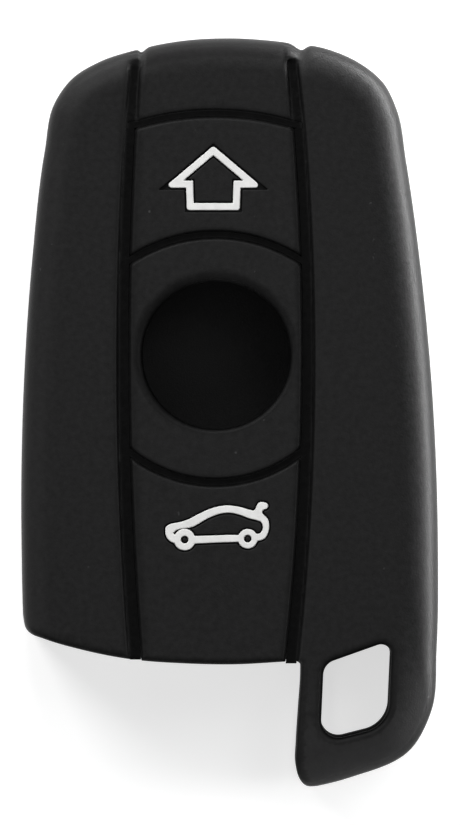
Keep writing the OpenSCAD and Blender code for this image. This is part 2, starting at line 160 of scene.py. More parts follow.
class GrooveSizes(bpy.types.PropertyGroup):
    """Sizes of the grooves and of the skin under them"""
    top_width: length_prop("Width at closed end", "Width of the two long grooves there", 1.15)
    mouth_width: length_prop("Width at mouth", "Width of the two long grooves there", 1.4)
    cross_width: length_prop("Cross width", "Width of the curved cross grooves", 0.85)
    skin: length_prop("Skin", "Thickness of the skin left under a groove", 1.1)
    lean: length_prop("Lean", "How far a long groove narrows on each side to its floor", 0.15)
    cross_lean: length_prop("Cross lean", "The same in a curved cross groove", 0.1)
    end_lean: length_prop("End lean", "The same in a long groove beside the end cap", 0.15)
    end_flare: length_prop("End flare", "How much further their sides stand there", 0.12)
    end_dip: length_prop("End dip", "How much deeper the long grooves get at their ends", 0.4)
    end_depth: length_prop("End depth", "Depth of the grooves down the closed end", 0.14)
    end_reach: length_prop("End reach", "How far the grooves run down the closed end", 1.6)
    strip_left: length_prop("Left groove", "From the middle of the cover to the groove", 11)
    strip_right: length_prop("Right groove", "From the middle of the cover to the groove", 8.08)
    left_bow: length_prop("Left bow", "How far the left groove bows in", 1.15)
    right_bow: length_prop("Right bow", "How far the right groove bows in", 1.55)
    bow_length: length_prop("Bow length", "Distance over which the grooves bow in", 30)
    bow_in: length_prop("Widest place", "From the closed end to the strip's widest place", 33)
    strip_middle: length_prop("Strip middle", "Middle of the curved cross grooves", -1.5)
    cap_in: length_prop("Cap groove", "From the closed end to its crest", 7.87)
    cap_radius: length_prop("Cap radius", "Radius of the groove under the end cap", 28.8)
    lock_in: length_prop("Lock groove", "From the closed end to its crest", 20.47)
    lock_radius: length_prop("Lock radius", "Radius of the groove over the lock pad", 16.2)
    boot_in: length_prop("Boot groove", "From the closed end to its lowest point", 46.23)
    boot_radius: length_prop("Boot radius", "Radius of the groove over the boot pad", 14.2)
    edge_round: length_prop("Groove edge", "Radius of the edges along the grooves", 0.36)
    skin_gap: length_prop("Skin gap", "Between a skin and the pad beside it", 0.04)
    skin_seat: length_prop("Skin seat", "How far a skin reaches into the body beside it", 0.1)
    skin_drop: length_prop("Skin drop", "How much lower the cross grooves lie", 0.01)
    rim_gap: length_prop("Rim gap", "How far the skins stop short of the mouth's rim", 0.1)
    end_in: length_prop("Groove end", "From the closed end to the ends of the grooves", 2.35)
    end_round: length_prop("Groove end edge", "Radius of the corners where the grooves end", 0.4)
    foot_round: length_prop("Groove foot", "Radius in the foot of the end grooves", 0.15)


class PadSizes(bpy.types.PropertyGroup):
    """Sizes of the press pads, the window and the pictograms"""
    corner: length_prop("Pad corner", "Radius of the pads' corners", 0.3)
    edge_round: length_prop("Pad edge", "Radius of the pads' upper edges", 0.36)
    window_radius: length_prop("Window radius", "Radius of the round window", 7.64)
    window_x: length_prop("Window across", "Middle of the window across the cover", -1.4)
    window_in: length_prop("Window along", "From the closed end to its middle", 33.05)
    window_lip: length_prop("Window lip", "Radius of the window's edge where it is crisp", 0.55)
    window_soft: length_prop("Soft lip", "Radius of the window's edge where it is soft", 1.1)
    line_width: length_prop("Line width", "Width of the white lines", 0.75)
    pocket_depth: length_prop("Pocket depth", "Depth of the pockets for the lines", 0.4)
    pocket_gap: length_prop("Pocket gap", "Between a line and its pocket's side", 0.16)
    pocket_edge: length_prop("Pocket edge", "Radius of the pockets' upper edges", 0.07)
    fill: length_prop("Fill", "Thickness of the white fill", 0.3)
    fill_edge: length_prop("Fill edge", "Radius of the fill's upper edges", 0.1)
    arrow_width: length_prop("Arrow width", "Between the sharp tips of its pocket", 11.4)
    arrow_height: length_prop("Arrow height", "From the foot of its pocket to the apex", 7.15)
    arrow_gap: length_prop("Arrow gap", "Between its line and its pocket's side", 0.2)
    arrow_tip: length_prop("Arrow tips", "Radius of the line's corners", 0.3)
    arrow_x: length_prop("Arrow across", "Middle of the arrow across the cover", -1.7)
    arrow_in: length_prop("Arrow along", "From the closed end to its middle", 14.6)
    car_length: length_prop("Car length", "Length of the boot pictogram", 10.8)
    car_height: length_prop("Car height", "Height of the boot pictogram", 5)
    car_x: length_prop("Car across", "Middle of the boot pictogram across the cover", -1.3)
    car_in: length_prop("Car along", "From the closed end to its middle", 50.85)
    hub_radius: length_prop("Hub", "Radius of the pictogram's hubs", 0.39)
    cell: length_prop("Mesh size", "Distance between the points of a pad's mesh", 0.1)
    fill_cell: length_prop("Fill mesh size", "Distance between the points of a fill's mesh", 0.05)


class Finishes(bpy.types.PropertyGroup):
    """Colours of the materials"""
    silicone: colour_prop("Silicone", "Colour of the black silicone", (0.0063, 0.0063, 0.0064))
    white: colour_prop("White", "Colour of the white silicone ink", (0.8, 0.8, 0.79))
    floor: colour_prop("Floor", "Colour of the floor", (0.6, 0.6, 0.6))


class StageSizes(bpy.types.PropertyGroup):
    """Camera, lights and floor"""
    frame_height: length_prop("Frame height", "What the picture shows from top to bottom", 85.89)
    frame_x: length_prop("Frame across", "Middle of the picture across the cover", 0.03)
    frame_y: length_prop("Frame along", "Middle of the picture along the cover", 0.01)
    aim_height: length_prop("Aim height", "Height over the floor where the frame is measured", 12)
    lens: bpy.props.FloatProperty(
        name="Lens", description="Focal length of the camera in millimetres", default=600,
    )
    sensor: bpy.props.FloatProperty(
        name="Sensor", description="Long side of the camera's sensor in millimetres", default=36,
    )


def smooth_curve(points, closed, steps=12):
    """A smooth curve through points that keeps its heading at each of them"""
    points = np.array(points, float)
    count = len(points)
    if closed:
        before, after = np.roll(points, 1, 0), np.roll(points, -1, 0)
    else:
        before = np.vstack([points[:1], points[:-1]])
        after = np.vstack([points[1:], points[-1:]])
    back, ahead = points - before, after - points
    back_length = np.linalg.norm(back, axis=1, keepdims=True)
    ahead_length = np.linalg.norm(ahead, axis=1, keepdims=True)
    back_unit = back / np.maximum(back_length, 1e-12)
    ahead_unit = ahead / np.maximum(ahead_length, 1e-12)
    heading = (back_unit * ahead_length + ahead_unit * back_length) / (back_length + ahead_length)
    if not closed:
        heading[0], heading[-1] = ahead_unit[0], back_unit[-1]
    made = []
    for i in range(count if closed else count - 1):
        a, b = points[i], points[(i + 1) % count]
        reach = np.linalg.norm(b - a)
        for s in range(steps):
            t = s / steps
            made.append(
                a * (2 * t**3 - 3 * t**2 + 1) + b * (3 * t**2 - 2 * t**3)
                + heading[i] * reach * (t**3 - 2 * t**2 + t)
                + heading[(i + 1) % count] * reach * (t**3 - t**2)
            )
    if not closed:
        made.append(points[-1])
    return np.array(made)


def round_both(a, b, radius, power=2):
    """What lies inside both a and b, with an edge of that radius where they meet.

    A power over 2 lets the edge run out softly into its two faces.
    """
    over_a, over_b = np.maximum(a + radius, 0), np.maximum(b + radius, 0)
    if power == 2:
        corner = np.hypot(over_a, over_b)
    else:
        corner = (over_a**power + over_b**power) ** (1 / power)
    return np.minimum(-radius, np.maximum(a, b)) + corner


def round_either(a, b, radius):
    """What lies inside a or b, with a hollow of that radius where they meet"""
    return -round_both(-a, -b, radius)


def inset(outline, distance):
    """A sharp outline, points in turn to the left, drawn in by a distance"""
    before, after = outline - np.roll(outline, 1, 0), np.roll(outline, -1, 0) - outline
    before, after = [way / np.linalg.norm(way, axis=1, keepdims=True) for way in (before, after)]
    across = np.stack([-before[:, 1] - after[:, 1], before[:, 0] + after[:, 0]], 1)
    return outline + across * distance / (1 + (before * after).sum(1, keepdims=True))


def between(low, high, share):
    """The value that lies at a share of the way from low to high"""
    return low + (high - low) * share


def rising(value, start, span):
    """0 up to the start and 1 from a span further on"""
    return np.clip((value - start) / span, 0, 1)


def fading(distance, reach, power=1):
    """1 at a distance of 0, falling to 0 at the reach"""
    return np.clip(1 - np.maximum(distance, 0) / reach, 0, 1) ** power


class Plan:
    """Signed distance to a closed outline seen from above, below zero inside it.

    The distance is worked out on a grid once and read from it afterwards.
    """

    def __init__(self, outline, low, high, step, reach):
        self.low, self.step = np.array(low, float), step
        self.counts = np.ceil((np.array(high) - self.low) / step).astype(int) + 1
        xs = self.low[0] + step * np.arange(self.counts[0])
        ys = self.low[1] + step * np.arange(self.counts[1])
        far = np.full(self.counts, reach, float)
        inside = np.zeros(self.counts, bool)
        for a, b in zip(outline, np.roll(outline, -1, 0)):
            self._measure(far, xs, ys, a, b, reach)
            self._flip(inside, xs, ys, a, b)
        self.values = np.where(inside, -far, far)

    def _measure(self, far, xs, ys, a, b, reach):
        """Lowers the distance near the segment from a to b"""
        i0, i1 = np.searchsorted(xs, [min(a[0], b[0]) - reach, max(a[0], b[0]) + reach])
        j0, j1 = np.searchsorted(ys, [min(a[1], b[1]) - reach, max(a[1], b[1]) + reach])
        if i0 == i1 or j0 == j1:
            return
        run = b - a
        px, py = xs[i0:i1, None] - a[0], ys[None, j0:j1] - a[1]
        t = np.clip((px * run[0] + py * run[1]) / max(run @ run, 1e-18), 0, 1)
        window = far[i0:i1, j0:j1]
        np.minimum(window, np.hypot(px - t * run[0], py - t * run[1]), out=window)

    def _flip(self, inside, xs, ys, a, b):
        """Turns inside to outside, and back, to the right of the segment from a to b"""
        if a[1] == b[1]:
            return
        low, high = (a, b) if a[1] < b[1] else (b, a)
        j0, j1 = np.searchsorted(ys, [low[1], high[1]])
        cross = low[0] + (high[0] - low[0]) * (ys[j0:j1] - low[1]) / (high[1] - low[1])
        inside[:, j0:j1] ^= xs[:, None] > cross[None, :]

    def __call__(self, x, y):
        """The distance at x and y, read between the four nearest points of the grid"""
        u = np.clip((x - self.low[0]) / self.step, 0, self.counts[0] - 1.001)
        v = np.clip((y - self.low[1]) / self.step, 0, self.counts[1] - 1.001)
        u, v = np.broadcast_arrays(u, v)
        i, j = u.astype(int), v.astype(int)
        s, t = u - i, v - j
        grid = self.values
        return (
            (grid[i, j] * (1 - s) + grid[i + 1, j] * s) * (1 - t)
            + (grid[i, j + 1] * (1 - s) + grid[i + 1, j + 1] * s) * t
        )


class Shapes:
    """The cover's outlines and surfaces, worked out from the sizes"""
    PLAN_STEP = 0.1 * MM
    PLAN_REACH = 6 * MM
    FINE_STEP = 0.03 * MM
    FINE_REACH = 1.5 * MM
    # Straight steps between two points of the pictogram's outline
    CAR_STEPS = 4
    MARGIN = 2 * MM
    EDGE_POWER = 2.5
    # How far below its middle the cover starts to fall to the ring loop, over which distance
    # that comes in, and the same across to the right of the middle
    LOOP_START = 16 * MM
    LOOP_SPAN = 14 * MM
    LOOP_BLEND = 6 * MM
    # Over which distance the mouth's rim turns into the loop's, and back at the loop's tip
    RIM_BLEND = 2 * MM
    TIP_BLEND = 1.5 * MM
    # How much of a groove's lean is even, while the rest is near its floor
    EVEN_LEAN = 0.4
    # Way from the window's middle to where its lip is softest, the softness at right angles to
    # it and how much that changes towards it
    SOFT_WAY = (-0.37, 0.93)
    SOFTNESS, SOFTNESS_SWING = 0.6, 0.5

    def __init__(self, scene):
        self.cover, self.groove = scene.key_cover_sizes, scene.key_cover_grooves
        self.pad = scene.key_cover_pads
        self.half_w, self.half_l = self.cover.width / 2, self.cover.length / 2
        self.ceiling = self.cover.thickness - self.cover.front_wall
        self.floor = self.ceiling + self.groove.skin
        edge = np.array([self.half_w, self.half_l]) + self.MARGIN
        whole = (-edge, edge, self.PLAN_STEP, self.PLAN_REACH)
        self.side = Plan(self.sized(OUTLINE_SHARES, True), *whole)
        self.mouth = Plan(self.mouth_outline(), *whole)
        self.eye = Plan(self.eye_outline(), *whole)

    def sized(self, shares, closed):
        """A smooth curve through a table of shares"""
        return smooth_curve(np.array(shares) * (self.half_w, self.half_l), closed)

    def notched(self, before, after, steps=12):
        """Two curves that meet at a corner, joined by an arc there"""
        corner, radius = after[0], self.cover.notch_round
        start = before[np.linalg.norm(before - corner, axis=1) > radius]
        end = after[np.linalg.norm(after - corner, axis=1) > radius]
        turn = np.linspace(0, math.pi / 2, steps)[:, None]
        leg_in, leg_out = [
            (point - corner) * radius / np.linalg.norm(point - corner)
            for point in (start[-1], end[0])
        ]
        arc = corner + leg_in * (1 - np.sin(turn)) + leg_out * (1 - np.cos(turn))
        return np.vstack([start, arc, end])

    def mouth_outline(self):
        """What the mouth's rim and the loop's free edge cut off, out to well past the cover"""
        curve = self.notched(self.sized(MOUTH_SHARES, False), self.sized(LOOP_SHARES, False))
        corners = np.array([
            (LOOP_SHARES[-1][0], -OUTSIDE_SHARE), (-OUTSIDE_SHARE, -OUTSIDE_SHARE),
            (-OUTSIDE_SHARE, MOUTH_SHARES[0][1]),
        ])
        return np.vstack([curve, corners * (self.half_w, self.half_l)])

    def eye_outline(self, steps=384):
        """The ring eye: four round corners and the straight lines between them"""
        corners = [
            (np.array([x * self.half_w, y * self.half_l]), r * self.half_w)
            for x, y, r in EYE_SHARES
        ]
        made = []
        for turn in np.linspace(0, 2 * math.pi, steps, endpoint=False):
            way = np.array([math.cos(turn), math.sin(turn)])
            centre, radius = max(corners, key=lambda corner: corner[0] @ way + corner[1])
            made.append(centre + way * radius)
        return np.array(made)

    def from_end(self, distance):
        """Y of something measured from the closed end"""
        return self.half_l - distance

    def front(self, x, y):
        """Height of the crowned button side"""
        return (
            self.cover.thickness
            - self.cover.crown_across * (x / self.half_w) ** 2
            - self.cover.crown_along * (y / self.half_l) ** 2
        )

    def bow(self, y):
        """How far along its bow a long groove is at y"""
        return ((y - self.from_end(self.groove.bow_in)) / self.groove.bow_length) ** 2

    def left_x(self, y):
        """Middle line of the left groove"""
        return -self.groove.strip_left + self.groove.left_bow * self.bow(y)

    def right_x(self, y):
        """Middle line of the right groove"""
        return self.groove.strip_right - self.groove.right_bow * self.bow(y)

    def width(self, y):
        """Width of the long grooves at y"""
        share = (self.half_l - y) / self.cover.length
        return between(self.groove.top_width, self.groove.mouth_width, share)

    def strip(self, x, y, side):
        """Plan of the strip, to the outer sides of the long grooves at 1 and the inner at -1"""
        half = side * self.width(y) / 2
        return np.maximum(self.left_x(y) - half - x, x - self.right_x(y) - half)

    def arc(self, x, y, crest_in, radius, way):
        """Distance outside the disc that a cross groove runs round, on its crest's side.

        The crest points to the closed end where way is 1 and to the mouth where it is -1.
        """
        centre = self.from_end(crest_in) - way * radius
        outside = np.hypot(x - self.groove.strip_middle, y - centre) - radius
        return np.where(way * (y - centre) < 0, -2 * radius, outside)

    def cap_arch(self, x, y):
        """Distance outside the arch of the groove under the end cap"""
        return self.arc(x, y, self.groove.cap_in, self.groove.cap_radius, 1)

    def lock_arch(self, x, y):
        """Distance outside the arch of the groove over the lock pad"""
        return self.arc(x, y, self.groove.lock_in, self.groove.lock_radius, 1)

    def boot_bowl(self, x, y):
        """Distance outside the bowl of the groove over the boot pad"""
        return self.arc(x, y, self.groove.boot_in, self.groove.boot_radius, -1)

    def from_window(self, x, y):
        """Way from the window's middle, across the cover and along it"""
        return x - self.pad.window_x, y - self.from_end(self.pad.window_in)

    def window(self, x, y):
        """Plan of the round window"""
        return np.hypot(*self.from_window(x, y)) - self.pad.window_radius

    def lip_softness(self, x, y):
        """How soft the window's lip is, from 0 towards the loop to 1 on the opposite side"""
        across, along = self.from_window(x, y)
        towards = across * self.SOFT_WAY[0] + along * self.SOFT_WAY[1]
        towards = towards / np.maximum(np.hypot(across, along), MM)
        return np.clip(self.SOFTNESS + self.SOFTNESS_SWING * towards, 0, 1)

    def lip_radius(self, x, y):
        """Radius of the window's lip"""
        return between(self.pad.window_lip, self.pad.window_soft, self.lip_softness(x, y))

    def loop_side(self, x):
        """From 0 on the pads' side of the right groove to 1 on the ring loop's side"""
        return rising(x, self.groove.strip_right - self.RIM_BLEND, self.RIM_BLEND)

    def rim_radius(self, x, y):
        """Radius of the mouth's rim, which grows towards the ring loop but not at its tip"""
        share = self.loop_side(x) * rising(y, self.TIP_BLEND - self.half_l, self.TIP_BLEND)
        return between(self.cover.rim_round, self.cover.loop_round, share)

    def end_dents(self, x, y):
        """How far the closed end is dented beside the ends of the two long grooves"""
        dent = 0 * x
        for middle, left, right, depth in END_DENTS:
            away = (x / MM - middle) / np.where(x / MM < middle, left, right)
            dent = dent + depth * MM * np.exp(-away**2)
        return dent * (y > self.half_l / 2)

    def down(self, x, y, z):
        """How far a groove's wall has come in at z, from 0 at the button side to 1 at the floor"""
        front = self.front(x, y)
        share = np.clip((front - z) / (front - self.floor), 0, 1)
        return self.EVEN_LEAN * share + (1 - self.EVEN_LEAN) * share**4

    def pads_area(self, x, y, down):
        """Plan of the pads with the grooves round them, narrower further down"""
        groove = self.groove
        return np.maximum(
            self.strip(x, y, 1) + groove.lean * down,
            self.cap_arch(x, y) - groove.cross_width / 2 + groove.cross_lean * down,
        )

    def outside(self, x, y, z, side):
        """The body as if it were solid"""
        cover = self.cover
        at_loop = rising(-y, self.LOOP_START, self.LOOP_SPAN) * rising(x, 0, self.LOOP_BLEND)
        edge = between(cover.front_round, cover.loop_front, at_loop)
        fall = cover.loop_fall * at_loop * fading(-side, cover.loop_reach, power=2)
        made = round_both(side, z - self.front(x, y) + fall, edge, self.EDGE_POWER)
        return round_both(made, -z, cover.back_round)

    def key_space(self, z, side):
        """The space inside the body"""
        cover = self.cover
        made = round_both(side + cover.wall, z - self.ceiling, cover.inner_round)
        return round_both(made, cover.back_wall - z, cover.back_round - cover.wall)

    def grooves(self, x, y, z, side):
        """The space of the grooves round the pads and down the closed end"""
        groove, down = self.groove, self.down(x, y, z)
        ends = np.maximum(self.strip(x, y, 1), -self.strip(x, y, -1)) - groove.end_flare
        ends = ends + groove.end_lean * down
        short = round_both(ends, y - self.from_end(groove.end_in), groove.end_round)
        to_end = np.clip(self.cap_arch(x, y) / (groove.cap_in - groove.end_in), 0, 1)
        floor = self.floor - groove.end_dip * to_end
        plan = np.minimum(self.pads_area(x, y, down), short)
        end_side = round_both(ends, -side - groove.end_depth, groove.end_depth / 2)
        return round_either(
            round_both(plan, floor - z, groove.foot_round),
            np.maximum(end_side, self.floor - groove.end_reach - z), groove.foot_round,
        )

    def body(self, x, y, z):
        """The moulded body, below zero inside its material"""
        side = self.side(x, y) + self.end_dents(x, y)
        outer, room = self.outside(x, y, z, side), self.key_space(z, side)
        made = round_both(outer, -self.grooves(x, y, z, side), self.groove.edge_round)
        # Round the pads the front wall is cut away from the key space up to the grooves' floor
        middle = self.ceiling - self.cover.wall
        slot = np.maximum(self.pads_area(x, y, 1), abs(z - middle) - self.floor + middle)
        made = np.maximum(made, np.maximum(-slot, -room))
        rim = round_both(np.maximum(outer, -room), -self.mouth(x, y), self.rim_radius(x, y))
        return round_both(np.maximum(made, rim), -self.eye(x, y), self.cover.eye_round)

    def pad_solid(self, plan, x, y, z):
        """A pad over its plan, crowned above and flat below"""
        sides = plan(x, y, self.down(x, y, z))
        return round_both(np.maximum(sides, self.ceiling - z), z - self.front(x, y),
                          self.pad.edge_round)

    def pad_sides(self, x, y, down):
        """Plan between the long grooves, and how far the cross grooves stand off their middle"""
        groove = self.groove
        half = groove.cross_width / 2 - groove.cross_lean * down
        return self.strip(x, y, -1) - groove.lean * down, half

    def unlock_plan(self, x, y, down):
        """Plan of the unlock pad"""
        sides, half = self.pad_sides(x, y, down)
        plan = round_both(sides, self.cap_arch(x, y) + half, self.pad.corner)
        return round_both(plan, half - self.lock_arch(x, y), self.pad.corner)

    def lock_plan(self, x, y, down):
        """Plan of the lock pad"""
        sides, half = self.pad_sides(x, y, down)
        plan = round_both(sides, self.lock_arch(x, y) + half, self.pad.corner)
        return round_both(plan, self.boot_bowl(x, y) + half, self.pad.corner)

    def boot_plan(self, x, y, down):
        """Plan of the boot pad, which the mouth ends"""
        sides, half = self.pad_sides(x, y, down)
        return round_both(sides, half - self.boot_bowl(x, y), self.pad.corner)

    def arrow_outline(self):
        """The unlock arrow's sharp outline"""
        half = [
            (x * self.pad.arrow_width / 2, (y - 0.5) * self.pad.arrow_height)
            for x, y in ARROW_SHARES
        ]
        whole = half + [(-x, y) for x, y in half[:0:-1]]
        return np.array(whole[::-1]) + (self.pad.arrow_x, self.from_end(self.pad.arrow_in))

    def car_points(self, shares):
        """Points of the boot pictogram"""
        scale = np.array([self.pad.car_length, self.pad.car_height])
        middle = np.array([self.pad.car_x, self.from_end(self.pad.car_in)])
        return middle + (np.array(shares) - 0.5) * scale

    def car_plan(self, shares):
        """Plan of a smooth outline through some of the pictogram's points"""
        return self.fine_plan(smooth_curve(self.car_points(shares), True, self.CAR_STEPS))

    def fine_plan(self, outline):
        """Distance to a small outline on a fine grid"""
        low, high = outline.min(0) - self.FINE_REACH, outline.max(0) + self.FINE_REACH
        return Plan(outline, low, high, self.FINE_STEP, self.FINE_REACH)

    def arrow_line(self):
        """Plan of the arrow's line with round tips, or of its sharp pocket if it has to grow"""
        outline, pad = self.arrow_outline(), self.pad
        pocket = self.fine_plan(outline)
        line = self.fine_plan(inset(outline, pad.arrow_gap + pad.arrow_tip))
        hole = self.fine_plan(inset(outline, pad.arrow_gap + pad.line_width))

        def either(x, y, grow):
            outer = pocket(x, y) if grow else line(x, y) - pad.arrow_tip
            return np.maximum(outer, -hole(x, y) - grow)
        return either

    def car_line(self):
        """Plan of the pictogram's lines, grown by a given length"""
        body = self.car_plan(CAR_BODY_SHARES)
        window = self.car_plan(CAR_WINDOW_SHARES)
        wheels = self.car_points([wheel[:2] for wheel in WHEELS])

        def line(x, y, grow):
            shape, opening, hubs = body(x, y), window(x, y), 1
            for (cx, cy), (*_, radius) in zip(wheels, WHEELS):
                wheel = np.hypot(x - cx, y - cy) - radius * MM
                shape, opening = np.minimum(shape, wheel), np.maximum(opening, -wheel)
                hubs = np.minimum(hubs, wheel + radius * MM - self.pad.hub_radius)
            return np.maximum(shape - grow, -np.minimum(opening, hubs) - grow)
        return line


class PaintedShade:
    """How much painted shade a point carries, from 0 to 1, or below 0 where it is painted lighter.

    A name that ends in REACH or SPAN is a distance over which a shade fades or comes in, and
    one in FROM is where that starts. The others say how strong a shade is, 1 being black.
    """
    # How far past an edge a shade still counts
    SLACK = 0.1 * MM
    GROOVE_FLOOR = 0.76
    LONG_FLOOR_REACH, CROSS_FLOOR_REACH = 0.2 * MM, 0.15 * MM
    GROOVE_EDGE = 0.3
    LEFT_OF_GROOVE, RIGHT_OF_GROOVE = 0.55, 0.4
    LEFT_REACH, RIGHT_REACH = 0.7 * MM, 0.42 * MM
    # Beside the left groove the pads' shade fades more slowly by this factor
    LEFT_PADS_PACE = 0.42
    # On the mouth's side of the cap groove, and of the others, which lie further from the cap
    BELOW_CAP, BELOW_OTHERS = 0.28, 0.42
    BELOW_REACH, BELOW_OTHERS_FROM = 0.45 * MM, 4 * MM
    GROOVE_END_REACH = 0.6 * MM
    END_WALL = 0.85
    END_WALL_REACH, END_WALL_LENGTH_REACH = 0.8 * MM, 4 * MM
    LIP, LIP_AT_LEFT = 0.6, 0.82
    CRISP_LIP_REACH, SOFT_LIP_REACH = 0.6 * MM, 1.4 * MM
    RIM, RIM_AT_LOOP = 0.95, 0.45
    EYE = 0.8
    RIM_REACH = 0.8 * MM
    POCKET = 0.55
    POCKET_SPAN = 0.3 * MM
    LONG_EDGE, LONG_EDGE_AT_LEFT = 0.58, 0.75
    LONG_EDGE_REACH, LONG_EDGE_LEFT_REACH = 0.7 * MM, 0.85 * MM
    LEFT_FROM, LEFT_SPAN = 8 * MM, 8 * MM
    LONG_EDGE_FROM, LONG_EDGE_SPAN = 7 * MM, 4 * MM
    # How strong the painted light on the ring loop is, and from where and over which span it comes
    # in
    LOOP_LIGHT = 0.31
    LOOP_LIGHT_FROM, LOOP_LIGHT_SPAN = 26 * MM, 9 * MM

    def __init__(self, shapes):
        self.shapes, self.groove = shapes, shapes.groove

    def __call__(self, x, y, z):
        """Painted shade on the button side and on its outer edge, and painted light on the ring
        loop
        """
        made = np.maximum(self.at_grooves(x, y), self.at_openings(x, y))
        made = np.maximum(made, self.in_pockets(x, y, z))
        # Painted light: where no shade is painted, the ring loop's side is painted lighter further
        # down the loop
        lighter = -self.LOOP_LIGHT * rising(-y, self.LOOP_LIGHT_FROM, self.LOOP_LIGHT_SPAN)
        made = np.where((made <= 0) & (self.shapes.loop_side(x) > 0), lighter, made)
        made = np.where(z > self.shapes.ceiling - self.SLACK, made, 0)
        edge = self.on_long_edge(x, y, z)
        return np.where(edge > 0, np.maximum(made, edge), made)

    def from_cross(self, x, y):
        """Distance from the nearest cross groove's middle, over 0 towards the mouth"""
        shapes = self.shapes
        away = np.stack([-shapes.cap_arch(x, y), -shapes.lock_arch(x, y), shapes.boot_bowl(x, y)])
        return np.choose(np.argmin(np.abs(away), 0), away)

    def at_grooves(self, x, y):
        """Shade in the grooves and beside them"""
        shapes, groove = self.shapes, self.groove
        inner, outer = shapes.strip(x, y, -1), shapes.strip(x, y, 1)
        cross, cap = self.from_cross(x, y), shapes.cap_arch(x, y)
        into_long = np.minimum(inner, -outer)
        into_cross = np.minimum(groove.cross_width / 2 - np.abs(cross), -outer)
        lean = np.where(cap > 0, groove.end_lean, groove.lean)
        floor = np.maximum(
            1 - fading(into_long - lean * 0.2, self.LONG_FLOOR_REACH),
            1 - fading(into_cross - groove.cross_lean * 0.5, self.CROSS_FLOOR_REACH),
        )
        at_left = x < groove.strip_middle
        left_of = (inner > 0) == at_left
        away = -into_long * np.where((inner < 0) & at_left, self.LEFT_PADS_PACE, 1)
        beside = np.where(left_of, self.LEFT_OF_GROOVE, self.RIGHT_OF_GROOVE)
        beside = beside * fading(away, np.where(left_of, self.LEFT_REACH, self.RIGHT_REACH))
        beside = np.where(into_long > 0, self.GROOVE_EDGE, beside)
        below = np.where(cap < -self.BELOW_OTHERS_FROM, self.BELOW_OTHERS, self.BELOW_CAP)
        below = below * fading(-into_cross, self.BELOW_REACH)
        below = below * (cross > 0) * (into_cross < self.SLACK) * (inner < 0)
        past_end = y - shapes.from_end(groove.end_in)
        made = np.max([self.GROOVE_FLOOR * floor, beside, below], 0)
        made = made * fading(past_end, self.GROOVE_END_REACH)
        wall = (x > 0) * fading(np.abs(inner), self.END_WALL_REACH)
        wall = wall * fading(np.abs(past_end), self.END_WALL_LENGTH_REACH, power=0.5)
        return np.maximum(made, self.END_WALL * wall)

    def at_openings(self, x, y):
        """Shade on the rims of the window, the mouth and the eye"""
        shapes, pad = self.shapes, self.shapes.pad
        window = shapes.window(x, y)
        left = np.clip((pad.window_x - x) / pad.window_radius, 0, 1)
        soft = between(self.CRISP_LIP_REACH, self.SOFT_LIP_REACH, shapes.lip_softness(x, y))
        lip = between(self.LIP, self.LIP_AT_LEFT, left) * fading(window, soft, power=0.6)
        rim = between(self.RIM, self.RIM_AT_LOOP, shapes.loop_side(x))
        rim = rim * fading(shapes.mouth(x, y), self.RIM_REACH)
        eye = self.EYE * fading(shapes.eye(x, y), self.RIM_REACH, power=1.2)
        return np.max([lip * (window > -self.SLACK), rim, eye], 0)

    def in_pockets(self, x, y, z):
        """Shade in the pockets of the signs, well clear of the grooves and the openings"""
        shapes = self.shapes
        clear = (shapes.strip(x, y, -1) < -0.5 * MM) & (shapes.window(x, y) > 1.3 * MM)
        clear &= (np.abs(self.from_cross(x, y)) > MM) & (shapes.mouth(x, y) > MM)
        return self.POCKET * clear * rising(shapes.front(x, y) - z, 0, self.POCKET_SPAN)

    def on_long_edge(self, x, y, z):
        """Shade round the outside, more on the side away from the ring loop"""
        outside = -self.shapes.side(x, y) - self.shapes.end_dents(x, y)
        left = rising(-x, self.LEFT_FROM, self.LEFT_SPAN)
        reach = between(self.LONG_EDGE_REACH, self.LONG_EDGE_LEFT_REACH, left)
        made = between(self.LONG_EDGE, self.LONG_EDGE_AT_LEFT, left) * fading(outside, reach)
        return made * rising(z, self.LONG_EDGE_FROM, self.LONG_EDGE_SPAN)


def grid_levels(stretches):
    """Grid lines along one axis: a start and then the end and step of each stretch"""
    levels = [stretches[0]]
    for end, step in stretches[1:]:
        count = max(1, round((end - levels[-1]) / step))
        levels.extend(np.linspace(levels[-1], end, count + 1)[1:])
    return np.array(levels)


def box_levels(low, high, cell):
    """Grid lines through a box along its three axes"""
    return [grid_levels((start, (end, cell))) for start, end in zip(low, high)]


def net_round(field, axes):
    """Points and quads of a closed net round the space where field is below zero"""
    values = field(*np.ix_(*axes))
    cells = tuple(len(axis) - 1 for axis in axes)
    crossings, rings = [], []
    for axis in range(3):
        low, high = [slice(None)] * 3, [slice(None)] * 3
        low[axis], high[axis] = slice(None, -1), slice(1, None)
        near, far = values[tuple(low)], values[tuple(high)]
        at = np.nonzero((near < 0) != (far < 0))
        near, far = near[at], far[at]
        point = np.stack([axes[d][at[d]] for d in range(3)], 1)
        step = axes[axis][at[axis] + 1] - axes[axis][at[axis]]
        point[:, axis] += step * near / (near - far)
        u, v = [d for d in range(3) if d != axis]
        ring = []
        for du, dv in ((0, 0), (1, 0), (1, 1), (0, 1)):
            cell = list(at)
            cell[u], cell[v] = cell[u] - du, cell[v] - dv
            ring.append(np.ravel_multi_index(cell, cells))
        ring = np.stack(ring, 1)
        turned = (near < 0) == (axis == 1)
        ring[turned] = ring[turned][:, ::-1]
        crossings.append(point)
        rings.append(ring)
    crossings, rings = np.vstack(crossings), np.vstack(rings)
    _, quads = np.unique(rings, return_inverse=True)
    quads = quads.reshape(-1, 4)
    hits = np.bincount(quads.ravel())
    points = np.stack([
        np.bincount(quads.ravel(), np.repeat(crossings[:, d], 4)) / hits for d in range(3)
    ], 1)
    return points, quads


